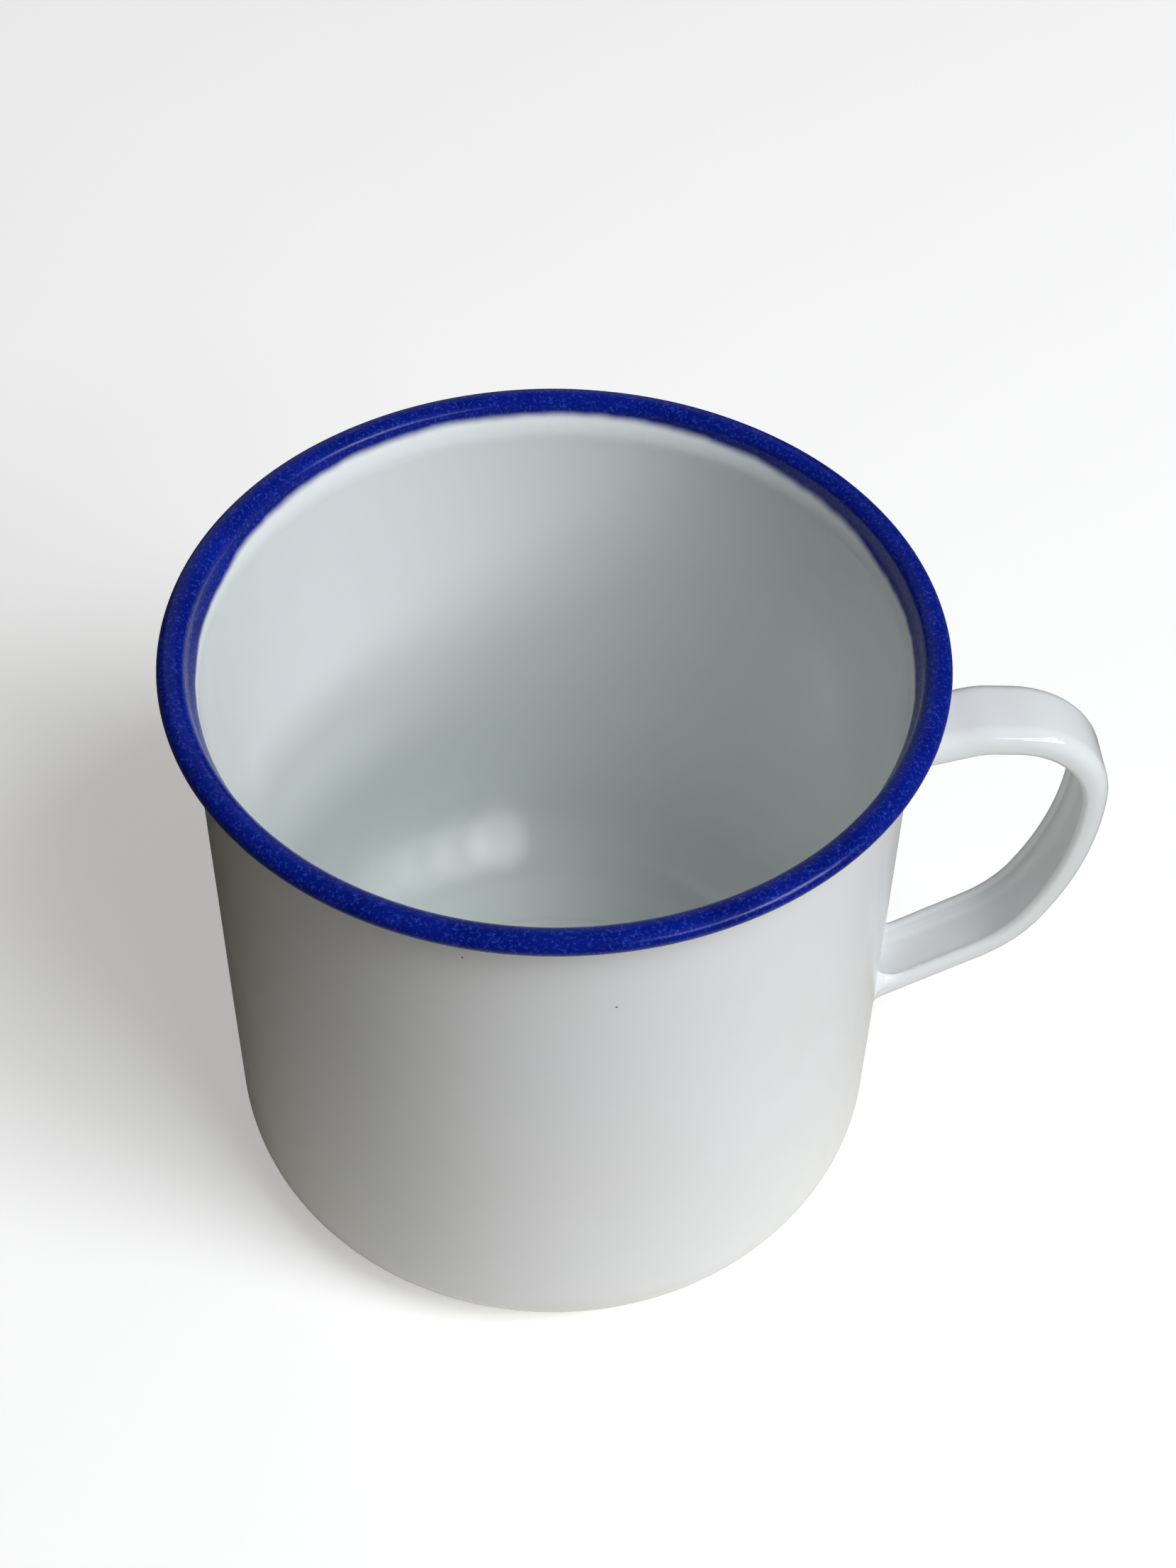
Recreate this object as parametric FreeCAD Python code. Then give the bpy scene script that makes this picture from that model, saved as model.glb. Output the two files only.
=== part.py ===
import FreeCAD, Part
import math
import os

# An enamelled steel mug: a cup drawn from one steel disc with its rim rolled outwards, a pressed
# strap handle welded to the wall, and fused glass coats over all of the steel.
# Frame: millimetres, +Z up, origin on the mug's axis in the plane of its foot ring, handle to +X.

# Cup, measured over the finished outside
RIM_RADIUS = 43.0  # outermost point of the rolled rim
TOTAL_HEIGHT = 81.0
WALL_RADIUS = 39.85
CORNER_RADIUS = 10.0  # between wall and foot ring
FOOT_RING_INNER_RADIUS = 27.0
FOOT_RECESS = 1.2  # how far the panel under the cup is pushed up inside the foot ring
FOOT_SLOPE_LENGTH = 4.0  # radial length of the step from the ring up to the panel

# Rolled rim: an oval tube at the top of the wall, reached by a short outward flare
BEAD_HALF_WIDTH = 1.55
BEAD_HALF_HEIGHT = 1.2
FLARE_LENGTH = 3.6
BLUE_LOWER_EDGE = 78.5  # height down to which the blue coat covers the rim, inside and out

# Sheet and coats, as depths in from the finished outer surface
STEEL_THICKNESS = 0.5
GROUND_COAT = 0.1
COVER_COAT = 0.15
COAT = GROUND_COAT + COVER_COAT
SHEET = STEEL_THICKNESS + 2 * COAT

# Strap handle: a channel open towards the cup, bent along straight runs joined by tangent arcs
HANDLE_WIDTH = 9.4
HANDLE_DEPTH = 3.2
HANDLE_STEEL = 0.9
HANDLE_CORNER_RADIUS = 2.1
HANDLE_CHANNEL_RADIUS = 1.3
HANDLE_START = (36.0, 64.3)  # radius and height on the outer line of the strap, inside the wall
HANDLE_BENDS = (((48.0, 67.6), 10.0), ((63.9, 66.6), 12.8), ((64.5, 43.8), 42.8), ((57.2, 29.4), 18.0))
HANDLE_END = (36.0, 16.0)

# Welds: a pad of weld metal at each end of the strap, as thick as the coats on the wall
WELD_SPREAD = 0.15  # how far the weld metal reaches past the strap, all round

BEAD_RADIUS = RIM_RADIUS - BEAD_HALF_WIDTH  # radius of the circle that the tube's middle follows
BEAD_HEIGHT = TOTAL_HEIGHT - BEAD_HALF_HEIGHT
FLARE_STEP = RIM_RADIUS - 2 * BEAD_HALF_WIDTH - (WALL_RADIUS - SHEET)
FLARE_START = BEAD_HEIGHT - FLARE_LENGTH
STEEL_WALL_RADIUS = WALL_RADIUS - COAT
CUTTER_HEIGHT = 200.0
CUTTER_RADIUS = 100.0


def point(radius, height):
    return FreeCAD.Vector(radius, 0, height)


def line(start, end):
    return Part.makeLine(start, end)


def arc(centre_radius, centre_height, radius, first_angle, last_angle):
    """A circular arc in the XZ plane, with its angles in degrees up from +X."""
    turns = (first_angle, (first_angle + last_angle) / 2, last_angle)
    ends = [
        point(
            centre_radius + radius * math.cos(math.radians(turn)),
            centre_height + radius * math.sin(math.radians(turn)),
        )
        for turn in turns
    ]
    return Part.Arc(*ends).toShape()


def step_arcs(length, step):
    """Radius and turn in degrees of the two equal arcs that make a smooth step of that size."""
    radius = (length**2 + step**2) / (4 * step)
    turn = math.degrees(math.asin(length / 2 / radius))
    return radius, turn


def sheet_line(depth):
    """The line of the cup's section at a depth in from the finished outer surface, axis to rim."""
    foot_radius, foot_turn = step_arcs(FOOT_SLOPE_LENGTH, FOOT_RECESS)
    panel_edge = FOOT_RING_INNER_RADIUS - FOOT_SLOPE_LENGTH
    corner_centre = WALL_RADIUS - CORNER_RADIUS
    flare_radius, flare_turn = step_arcs(FLARE_LENGTH, FLARE_STEP)
    wall = WALL_RADIUS - depth
    return [
        line(point(0, FOOT_RECESS + depth), point(panel_edge, FOOT_RECESS + depth)),
        arc(panel_edge, FOOT_RECESS - foot_radius, foot_radius + depth, 90, 90 - foot_turn),
        arc(FOOT_RING_INNER_RADIUS, foot_radius, foot_radius - depth, 270 - foot_turn, 270),
        line(point(FOOT_RING_INNER_RADIUS, depth), point(corner_centre, depth)),
        arc(corner_centre, CORNER_RADIUS, CORNER_RADIUS - depth, 270, 360),
        line(point(wall, CORNER_RADIUS), point(wall, FLARE_START)),
        arc(WALL_RADIUS + flare_radius, FLARE_START, flare_radius + depth, 180, 180 - flare_turn),
        arc(
            WALL_RADIUS + FLARE_STEP - flare_radius,
            BEAD_HEIGHT,
            flare_radius - depth,
            -flare_turn,
            0,
        ),
    ]


def sheet_strip(outer_depth, inner_depth):
    """The face between two lines of the cup's section."""
    outer = sheet_line(outer_depth)
    inner = sheet_line(inner_depth)
    axis = line(outer[0].Vertexes[0].Point, inner[0].Vertexes[0].Point)
    rim_outer = point(WALL_RADIUS - outer_depth + FLARE_STEP, BEAD_HEIGHT)
    rim_inner = point(WALL_RADIUS - inner_depth + FLARE_STEP, BEAD_HEIGHT)
    edges = outer + inner + [axis, line(rim_outer, rim_inner)]
    return Part.Face(Part.Wire(Part.sortEdges(edges)[0]))


def bead_face(depth):
    """The oval section of the rolled rim at a depth in from its finished surface."""
    middle = point(BEAD_RADIUS, BEAD_HEIGHT)
    widest = middle + point(BEAD_HALF_WIDTH - depth, 0)
    highest = middle + point(0, BEAD_HALF_HEIGHT - depth)
    oval = Part.Ellipse(widest, highest, middle)
    return Part.Face(Part.Wire(oval.toShape()))


def cup_section(depth):
    """Everything inside the finished surface of the cup and rim, taken in by a depth."""
    return sheet_strip(depth, SHEET - depth).fuse(bead_face(depth)).removeSplitter()


def turned(face):
    """The solid that a section makes when it is turned once about the mug's axis."""
    solid = face.revolve(FreeCAD.Vector(0, 0, 0), FreeCAD.Vector(0, 0, 1), 360)
    return Part.Solid(solid.Solids[0])


def height_band(low, high):
    """A flat face in the XZ plane that covers all radii between two heights."""
    corners = [point(0, low), point(CUTTER_RADIUS, low), point(CUTTER_RADIUS, high), point(0, high)]
    return Part.Face(Part.makePolygon(corners + corners[:1]))


def steel_section():
    hollow = bead_face(COAT + STEEL_THICKNESS)
    return cup_section(COAT).cut(hollow)


def ground_coat_section():
    return cup_section(COVER_COAT).cut(cup_section(COAT)).Faces[0]


def cover_coat_section():
    return cup_section(0).cut(cup_section(COVER_COAT))


def white_sections():
    """The inner and outer white coats, told apart by which one lies nearer the axis at the wall."""
    below = cover_coat_section().common(height_band(-1, BLUE_LOWER_EDGE))
    return sorted(below.Faces, key=lambda face: face.BoundBox.XMax)


def blue_section():
    return cover_coat_section().common(height_band(BLUE_LOWER_EDGE, CUTTER_HEIGHT)).Faces[0]


def rounded_wire(corners, radii, closed):
    """Straight runs through the corners, each corner replaced by a tangent arc of its radius."""
    count = len(corners)
    starts = []
    ends = []
    edges = []
    for index, (corner, radius) in enumerate(zip(corners, radii)):
        if radius == 0:
            starts.append(corner)
            ends.append(corner)
            continue
        back = (corners[index - 1] - corner).normalize()
        ahead = (corners[(index + 1) % count] - corner).normalize()
        half = back.getAngle(ahead) / 2
        tangent_length = radius / math.tan(half)
        centre = corner + (back + ahead).normalize() * (radius / math.sin(half))
        middle = centre + (corner - centre).normalize() * radius
        starts.append(corner + back * tangent_length)
        ends.append(corner + ahead * tangent_length)
        edges.append(Part.Arc(starts[-1], middle, ends[-1]).toShape())
    for index in range(count if closed else count - 1):
        gap_start = ends[index]
        gap_end = starts[(index + 1) % count]
        if gap_start.distanceToPoint(gap_end) > 1e-6:
            edges.append(line(gap_start, gap_end))
    return Part.Wire(Part.sortEdges(edges)[0])


def handle_route():
    """The strap's outer line in the XZ plane, from the upper end round to the lower end."""
    corners = [point(*HANDLE_START)] + [point(*bend[0]) for bend in HANDLE_BENDS] + [point(*HANDLE_END)]
    radii = [0] + [bend[1] for bend in HANDLE_BENDS] + [0]
    return rounded_wire(corners, radii, closed=False)


def channel_profile(inset):
    """The strap's C-section at its start, taken in by an inset all round."""
    first_bend = point(*HANDLE_BENDS[0][0])
    start = point(*HANDLE_START)
    along = (first_bend - start).normalize()
    inward = FreeCAD.Vector(0, 1, 0).cross(along)
    side = FreeCAD.Vector(0, 1, 0)
    web = HANDLE_STEEL + 2 * COAT - inset
    half = HANDLE_WIDTH / 2 - inset
    depth = HANDLE_DEPTH - inset
    flange = half - (HANDLE_STEEL + 2 * (COAT - inset))
    tip_radius = (half - flange) / 2 - 0.01
    outer_radius = HANDLE_CORNER_RADIUS - inset
    inner_radius = HANDLE_CHANNEL_RADIUS + inset
    outline = [
        (-half, depth, tip_radius),
        (-half, inset, outer_radius),
        (half, inset, outer_radius),
        (half, depth, tip_radius),
        (flange, depth, tip_radius),
        (flange, web, inner_radius),
        (-flange, web, inner_radius),
        (-flange, depth, tip_radius),
    ]
    corners = [start + side * across + inward * down for across, down, _ in outline]
    return rounded_wire(corners, [radius for _, _, radius in outline], closed=True)


def handle_sweep(inset):
    """The strap's C-section carried along its route, ends still inside the cup."""
    pipe = Part.BRepOffsetAPI.MakePipeShell(handle_route())
    pipe.setBiNormalMode(FreeCAD.Vector(0, 1, 0))
    pipe.add(channel_profile(inset))
    pipe.build()
    pipe.makeSolid()
    return Part.Solid(pipe.shape())


def cylinder(radius):
    return Part.makeCylinder(radius, CUTTER_HEIGHT, FreeCAD.Vector(0, 0, -CUTTER_HEIGHT / 4))


def weld_metal():
    """The strap's section, spread a little, wherever it may pass through the coats on the wall."""
    return handle_sweep(COAT - WELD_SPREAD)


def weld(upper):
    """The upper or the lower weld, between the cup's steel and the end of the strap."""
    ring = cylinder(WALL_RADIUS).cut(cylinder(STEEL_WALL_RADIUS))
    pads = weld_metal().common(ring).Solids
    return max(pads, key=lambda pad: pad.BoundBox.ZMax if upper else -pad.BoundBox.ZMin)


def handle_strap():
    return handle_sweep(COAT).cut(cylinder(WALL_RADIUS)).Solids[0]


def handle_coat(inset, outset):
    """A coat of the strap between two insets, down to the finished wall of the cup."""
    return handle_sweep(outset).cut(handle_sweep(inset)).cut(cylinder(WALL_RADIUS)).Solids[0]


def export(name, shape):
    shape.exportStep("parts/" + name + ".step")
    print(name, "valid", shape.isValid(), "volume", round(shape.Volume, 1), shape.BoundBox)


def main():
    os.makedirs("parts", exist_ok=True)
    inner_white, outer_white = white_sections()
    export("steel_cup", turned(steel_section()))
    export("ground_coat", turned(ground_coat_section()).cut(weld_metal()).Solids[0])
    export("inner_white_enamel", turned(inner_white))
    export("outer_white_enamel", turned(outer_white).cut(weld_metal()).Solids[0])
    export("blue_rim_enamel", turned(blue_section()))
    export("handle_strap", handle_strap())
    export("upper_weld", weld(True))
    export("lower_weld", weld(False))
    export("handle_ground_coat", handle_coat(COAT, COVER_COAT))
    export("handle_white_enamel", handle_coat(COVER_COAT, 0))


main()
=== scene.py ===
# %% [markdown]
# # An enamelled steel mug
# The mug is a cup drawn from sheet steel with its rim rolled outwards, and a strap handle welded to
# its side. Over the steel lie fused glass coats: a dark one that bonds, a white one, and a blue one
# on the rim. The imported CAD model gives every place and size. This lesson builds the glass that
# shows as new surfaces, and gives the steel and the hidden coats their own finishes.

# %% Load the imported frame
import math

import bpy
import numpy as np
from mathutils import Matrix, Quaternion, Vector


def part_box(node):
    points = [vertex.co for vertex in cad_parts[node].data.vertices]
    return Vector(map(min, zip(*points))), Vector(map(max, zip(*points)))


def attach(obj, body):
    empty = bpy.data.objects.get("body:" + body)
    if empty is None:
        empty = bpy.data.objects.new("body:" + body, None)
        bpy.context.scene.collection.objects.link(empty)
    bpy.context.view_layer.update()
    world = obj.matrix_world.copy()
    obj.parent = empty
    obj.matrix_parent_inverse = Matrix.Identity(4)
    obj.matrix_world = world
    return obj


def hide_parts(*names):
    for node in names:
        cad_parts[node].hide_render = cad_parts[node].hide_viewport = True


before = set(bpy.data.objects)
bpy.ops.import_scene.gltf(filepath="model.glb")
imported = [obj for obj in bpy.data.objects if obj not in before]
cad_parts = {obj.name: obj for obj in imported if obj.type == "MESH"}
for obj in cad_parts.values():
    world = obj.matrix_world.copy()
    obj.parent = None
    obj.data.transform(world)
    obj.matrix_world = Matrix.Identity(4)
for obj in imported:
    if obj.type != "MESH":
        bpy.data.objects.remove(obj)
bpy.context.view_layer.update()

print("nodes", sorted(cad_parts))

# %% [markdown]
# ## Sizes
# The rim's outermost radius and the mug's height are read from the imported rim, so the new surfaces
# follow the CAD. The other sizes are the ones that a toolmaker would put on the drawing of the
# pressing, in millimetres turned into metres.

# %% Sizes
MM = 0.001
_, rim_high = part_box("blue_rim_enamel")
RIM_RADIUS = rim_high.y
TOTAL_HEIGHT = rim_high.z
WALL_RADIUS = RIM_RADIUS - 3.15 * MM
SHEET = 1.0 * MM  # steel with a ground coat and a cover coat on each side
COVER_COAT = 0.15 * MM
CORNER_RADIUS = 10 * MM
FOOT_RING_INNER_RADIUS = 27 * MM
FOOT_RECESS = 1.2 * MM
FOOT_SLOPE_LENGTH = 4 * MM
BEAD_HALF_WIDTH = 1.55 * MM
BEAD_HALF_HEIGHT = 1.2 * MM
BEAD_RADIUS = RIM_RADIUS - BEAD_HALF_WIDTH
BEAD_HEIGHT = TOTAL_HEIGHT - BEAD_HALF_HEIGHT
FLARE_LENGTH = 3.6 * MM
FLARE_STEP = 1.05 * MM
FLARE_START = BEAD_HEIGHT - FLARE_LENGTH
BLUE_START_INSIDE = 75.9 * MM  # the blue piece starts below its paint line, where it is still white
BLUE_START_OUTSIDE = 78.1 * MM
print(f"rim radius {RIM_RADIUS:.5f} m, height {TOTAL_HEIGHT:.5f} m, wall radius {WALL_RADIUS:.5f} m")

# %% [markdown]
# ## The section of the cup
# A pressing that is turned about an axis is known once half of its section is drawn. The section is
# built from straight runs and circular arcs, each a short array of points (radius from the axis,
# height). A coat's two faces are the same line taken at two depths in from the finished outside, so
# their spacing is exact everywhere. Drawing the line in code keeps it the same as the CAD's.


# %% Lines and arcs
def arc(centre, radius, first, last, count):
    """Points on a circle: centre plus radius times (cosine, sine) of the turn, in degrees."""
    turn = np.radians(np.linspace(first, last, count))
    return np.column_stack([centre[0] + radius * np.cos(turn), centre[1] + radius * np.sin(turn)])


def run(start, end, count):
    """Points at even steps along a straight line."""
    return np.linspace(start, end, count)


def joined(*parts):
    """The parts one after another, without the points that repeat where they meet."""
    line = np.concatenate(parts)
    step = np.linalg.norm(np.diff(line, axis=0), axis=1)
    return line[np.append(True, step > 1e-9)]


def step_arcs(length, step):
    """Radius and turn of two equal arcs that make a smooth step: (length² + step²) / (4 step)."""
    radius = (length**2 + step**2) / (4 * step)
    return radius, math.degrees(math.asin(length / 2 / radius))


# %% The cup's line at a depth in from the finished outside
def cup_line(depth):
    """From the axis along the underside, round the corner and up the wall to the flared rim."""
    foot_radius, foot_turn = step_arcs(FOOT_SLOPE_LENGTH, FOOT_RECESS)
    flare_radius, flare_turn = step_arcs(FLARE_LENGTH, FLARE_STEP)
    panel_edge = FOOT_RING_INNER_RADIUS - FOOT_SLOPE_LENGTH
    corner = WALL_RADIUS - CORNER_RADIUS
    wall = WALL_RADIUS - depth
    flare_end = (WALL_RADIUS + FLARE_STEP - flare_radius, BEAD_HEIGHT)
    return joined(
        run((0, FOOT_RECESS + depth), (panel_edge, FOOT_RECESS + depth), 16),
        arc((panel_edge, FOOT_RECESS - foot_radius), foot_radius + depth, 90, 90 - foot_turn, 8),
        arc((FOOT_RING_INNER_RADIUS, foot_radius), foot_radius - depth, 270 - foot_turn, 270, 8),
        run((FOOT_RING_INNER_RADIUS, depth), (corner, depth), 4),
        arc((corner, CORNER_RADIUS), CORNER_RADIUS - depth, 270, 360, 20),
        run((wall, CORNER_RADIUS), (wall, FLARE_START), 40),
        arc((WALL_RADIUS + flare_radius, FLARE_START), flare_radius + depth, 180, 180 - flare_turn, 10),
        arc(flare_end, flare_radius - depth, -flare_turn, 0, 14),
    )


def up_to(line, height):
    """The part of a cup line below a height, ended exactly at that height."""
    end_radius = np.interp(height, line[-60:, 1], line[-60:, 0])
    return joined(line[line[:, 1] < height], np.array([[end_radius, height]]))


def above(line, height):
    """The flared part of a cup line above a height, started exactly at that height."""
    flare = line[-30:]
    start_radius = np.interp(height, flare[:, 1], flare[:, 0])
    return joined(np.array([[start_radius, height]]), flare[flare[:, 1] > height])


print("points in the outer line", len(cup_line(0)), "and the inner line", len(cup_line(SHEET)))

# %% [markdown]
# ## Hand-made unevenness
# ## Unevenness
# of round, and it picks up shallow dents. Bump shading could suggest this, but a dent should bend
# the outline and the reflections together, so it is put in the surface itself. Every offset is
# smaller than the coat is thick, so the steel never comes through.

# %% Offsets of the wall and of the rim
DENT_ANGLE = math.radians(-85.8)
DENT_HEIGHT = 26.5 * MM
DENT_HALF_WIDTH = 3.3 * MM
DENT_HALF_HEIGHT = 2.7 * MM
DENT_DEPTH = 0.105  # in millimetres, like the waves below


def wall_offset(angle, height):
    """Three cosine waves times the squared sine of the way up, less exp(-across² - along²) for the dent."""
    share = np.clip(height / FLARE_START, 0, 1)
    fade = np.sin(math.pi * share) ** 2
    waves = 0.030 * np.cos(2 * angle + 0.6) + 0.016 * np.cos(5 * angle + 55 * height + 1.9)
    waves = waves + 0.008 * np.cos(11 * angle - 190 * height + 0.4)
    across = (angle - DENT_ANGLE) * WALL_RADIUS / DENT_HALF_WIDTH
    along = (height - DENT_HEIGHT) / DENT_HALF_HEIGHT
    dent = DENT_DEPTH * np.exp(-(across**2) - along**2)
    return (waves * fade - dent) * MM


def rim_offset(angle):
    """The bead sinks in by 0 to 0.026 mm: three cosine waves round the rim, less their largest sum."""
    waves = np.cos(3 * angle + 0.7) + 0.8 * np.cos(7 * angle + 2.1) + 0.5 * np.cos(16 * angle + 0.2)
    return 0.013 * (waves / 2.3 - 1) * MM


ring = np.linspace(-math.pi, math.pi, 361)
print("wall offset in mm", np.round(wall_offset(ring, 40 * MM)[::60] / MM, 3))

# %% [markdown]
# ## From section to surface
# Turning a closed section about the axis gives a closed surface: a grid of angles by section
# points. A section that starts and ends on the axis closes there in one point, its pole, so the
# first and last rings become fans of triangles. Blender's Spin or Screw could do this too, but a
# grid in numpy lets each point carry its own offset, and it closes without merging.


# %% Faces of a grid, and the outward test
def grid_faces(rows, columns, rows_close):
    """Quads between neighbouring grid points, where the columns always close into a ring."""
    row = np.arange(rows if rows_close else rows - 1)[:, None]
    column = np.arange(columns)[None, :]
    next_row = (row + 1) % rows
    next_column = (column + 1) % columns
    corners = [
        row * columns + column,
        row * columns + next_column,
        next_row * columns + next_column,
        next_row * columns + column,
    ]
    return np.stack(corners, axis=-1).reshape(-1, 4)


def fan_faces(ring_start, columns, tip, turned_over):
    """Triangles from a ring of points to one tip."""
    here = ring_start + np.arange(columns)
    after = ring_start + (np.arange(columns) + 1) % columns
    fan = np.column_stack([after, here, np.full(columns, tip)])
    return fan[:, ::-1] if turned_over else fan


def enclosed_volume(points, faces):
    """Sum over triangles of a · (b × c) / 6: above zero when the faces point outwards."""
    corners = [points[face] for face in (faces[:, 0], faces[:, 1], faces[:, 2])]
    total = np.einsum("ij,ij->i", corners[0], np.cross(corners[1], corners[2])).sum() / 6
    if faces.shape[1] == 4:
        total += enclosed_volume(points, faces[:, [0, 2, 3]])
    return total


# %% Put arrays into a mesh that rides on the mug
SHARP_ANGLE = math.radians(40)


def add_piece(name, points, quads, triangles, slot, stands_for, material):
    """A mesh from arrays, turned to face outwards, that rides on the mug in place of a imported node."""
    volume = enclosed_volume(points, quads)
    volume += enclosed_volume(points, triangles) if len(triangles) else 0
    if volume < 0:
        quads = quads[:, ::-1]
        triangles = triangles[:, ::-1]
    mesh = bpy.data.meshes.new(name)
    mesh.from_pydata(points.tolist(), [], quads.tolist() + triangles.tolist())
    mesh.shade_smooth()
    mesh.set_sharp_from_angle(angle=SHARP_ANGLE)
    mesh.materials.append(material)
    piece = bpy.data.objects.new(name, mesh)
    bpy.context.scene.collection.objects.link(piece)
    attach(piece, "root")
    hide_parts(stands_for)
    count = 2 * len(quads) + len(triangles)
    print(name, count, "triangles, glass volume", round(abs(volume) * 1e9), "mm3")
    return piece


# %% Turn a section about the axis
TURN_STEPS = 256
BASE_SHARE = 0.6  # the share of the wall's radius inside which the cup is its flat base


def turned_points(section, offset_out, offset_up):
    """(radius + offset) times (cosine, sine) of the angle, and height + offset, for every angle."""
    angle = np.arange(TURN_STEPS)[None, :] * (2 * math.pi / TURN_STEPS) - math.pi
    radius = section[:, 0, None] + offset_out(angle, section)
    height = section[:, 1, None] + offset_up(angle, section)
    grid = np.stack([radius * np.cos(angle), radius * np.sin(angle), height + 0 * angle], axis=-1)
    return grid.reshape(-1, 3)


def level(angle, section):
    """No offset, as a grid of zeros with the shape that the other offsets have."""
    return 0 * angle * section[:, 1, None]


def wall_waves(angle, section):
    """The wall's offset, for the wall and the corner but not for the base."""
    return wall_offset(angle, section[:, 1, None]) * (section[:, 0, None] > BASE_SHARE * WALL_RADIUS)


def turned_shell(front, back):
    """The closed shell between two lines from the axis to the rim, with a pole at each end."""
    section = np.concatenate([front, back[::-1]])
    poles = section[[0, -1]]
    body = section[1:-1]
    points = turned_points(body, wall_waves, level)
    tips = np.column_stack([poles[:, 0], 0 * poles[:, 0], poles[:, 1]])
    count = len(points)
    fans = [
        fan_faces(0, TURN_STEPS, count, False),
        fan_faces(count - TURN_STEPS, TURN_STEPS, count + 1, True),
    ]
    return np.concatenate([points, tips]), grid_faces(len(body), TURN_STEPS, False), np.concatenate(fans)


# %% [markdown]
# ## Shared effects of fired glass
# Fired enamel shows three things at once: orange peel, the slow ripple that the melt leaves; a fine
# grain from the milled powder; and patches where the coat lies thicker and looks a little greener.
# All the visible coats show them in different measure, so each effect is one node group with named
# inputs. They read Object coordinates, which every piece here shares, so a pattern runs on unbroken
# from one coat to the next.


# %% Helpers for node trees
def add_node(tree, kind, values=None, **settings):
    """A new node with its settings, and with values or links put on its named inputs."""
    made = tree.nodes.new(kind)
    for name, value in settings.items():
        setattr(made, name, value)
    for name, value in (values or {}).items():
        if isinstance(value, bpy.types.NodeSocket):
            tree.links.new(value, made.inputs[name])
        else:
            made.inputs[name].default_value = value
    return made


def new_group(name, inputs, outputs):
    """An empty group with its sockets, and its input and output nodes."""
    tree = bpy.data.node_groups.new(name, "ShaderNodeTree")
    for label, kind, start in inputs:
        made = tree.interface.new_socket(label, in_out="INPUT", socket_type="NodeSocket" + kind)
        if start is not None:
            made.default_value = start
    for label, kind in outputs:
        tree.interface.new_socket(label, in_out="OUTPUT", socket_type="NodeSocket" + kind)
    return tree, tree.nodes.new("NodeGroupInput").outputs, tree.nodes.new("NodeGroupOutput").inputs


def math_node(tree, operation, first, second, third=None):
    """The output of one Math node on two or three values or links."""
    parts = {0: first, 1: second}
    if third is not None:
        parts[2] = third
    return add_node(tree, "ShaderNodeMath", parts, operation=operation).outputs[0]


# %% Group: orange peel and grain
def make_peel_group():
    """Height is slow noise plus a share of fine noise; roughness follows patches between two values."""
    inputs = [
        ("Vector", "Vector", None),
        ("Peel Scale", "Float", 420.0),
        ("Grain Scale", "Float", 3000.0),
        ("Grain Share", "Float", 0.1),
        ("Low Roughness", "Float", 0.08),
        ("High Roughness", "Float", 0.16),
    ]
    tree, given, out = new_group("fired_glass_peel", inputs, [("Height", "Float"), ("Roughness", "Float")])
    peel = add_node(
        tree,
        "ShaderNodeTexNoise",
        {"Vector": given["Vector"], "Scale": given["Peel Scale"], "Detail": 1.5, "Roughness": 0.4},
    )
    grain = add_node(
        tree,
        "ShaderNodeTexNoise",
        {"Vector": given["Vector"], "Scale": given["Grain Scale"], "Detail": 1.0, "Roughness": 0.5},
    )
    height = math_node(tree, "MULTIPLY_ADD", grain.outputs[0], given["Grain Share"], peel.outputs[0])
    patches = add_node(tree, "ShaderNodeTexNoise", {"Vector": given["Vector"], "Scale": 60.0, "Detail": 2.0})
    rough = add_node(
        tree,
        "ShaderNodeMapRange",
        {
            "Value": patches.outputs[0],
            "From Min": 0.3,
            "From Max": 0.7,
            "To Min": given["Low Roughness"],
            "To Max": given["High Roughness"],
        },
    )
    tree.links.new(height, out["Height"])
    tree.links.new(rough.outputs["Result"], out["Roughness"])
    return tree


# %% Group: colour that drifts with the thickness of the coat
def make_drift_group():
    """A colour between the thin coat's and the thick coat's, by patches of noise."""
    inputs = [
        ("Vector", "Vector", None),
        ("Thin Color", "Color", (0.8, 0.8, 0.8, 1)),
        ("Thick Color", "Color", (0.7, 0.7, 0.7, 1)),
        ("Patch Scale", "Float", 45.0),
    ]
    tree, given, out = new_group("coat_thickness_drift", inputs, [("Color", "Color")])
    patches = add_node(
        tree,
        "ShaderNodeTexNoise",
        {"Vector": given["Vector"], "Scale": given["Patch Scale"], "Detail": 3.0, "Roughness": 0.55},
    )
    share = add_node(
        tree, "ShaderNodeMapRange", {"Value": patches.outputs[0], "From Min": 0.35, "From Max": 0.7}
    )
    mixed = add_node(
        tree,
        "ShaderNodeMix",
        {0: share.outputs["Result"], 6: given["Thin Color"], 7: given["Thick Color"]},
        data_type="RGBA",
    )
    tree.links.new(mixed.outputs[2], out["Color"])
    return tree


# %% Group: one pinhole or iron speck at a chosen place
def make_speck_group():
    """A mask that is 1 within a radius of one place and fades to 0 a little outside it."""
    inputs = [("Vector", "Vector", None), ("Place", "Vector", (0, 0, 0)), ("Radius", "Float", 0.0002)]
    tree, given, out = new_group("iron_speck", inputs, [("Mask", "Float")])
    away = add_node(
        tree, "ShaderNodeVectorMath", {0: given["Vector"], 1: given["Place"]}, operation="DISTANCE"
    )
    ratio = math_node(tree, "DIVIDE", away.outputs["Value"], given["Radius"])
    mask = add_node(
        tree, "ShaderNodeMapRange", {"Value": ratio, "From Min": 1.3, "From Max": 0.7}, clamp=True
    )
    tree.links.new(mask.outputs["Result"], out["Mask"])
    return tree


peel_group = make_peel_group()
drift_group = make_drift_group()
speck_group = make_speck_group()
print("groups", [group.name for group in (peel_group, drift_group, speck_group)])

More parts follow.
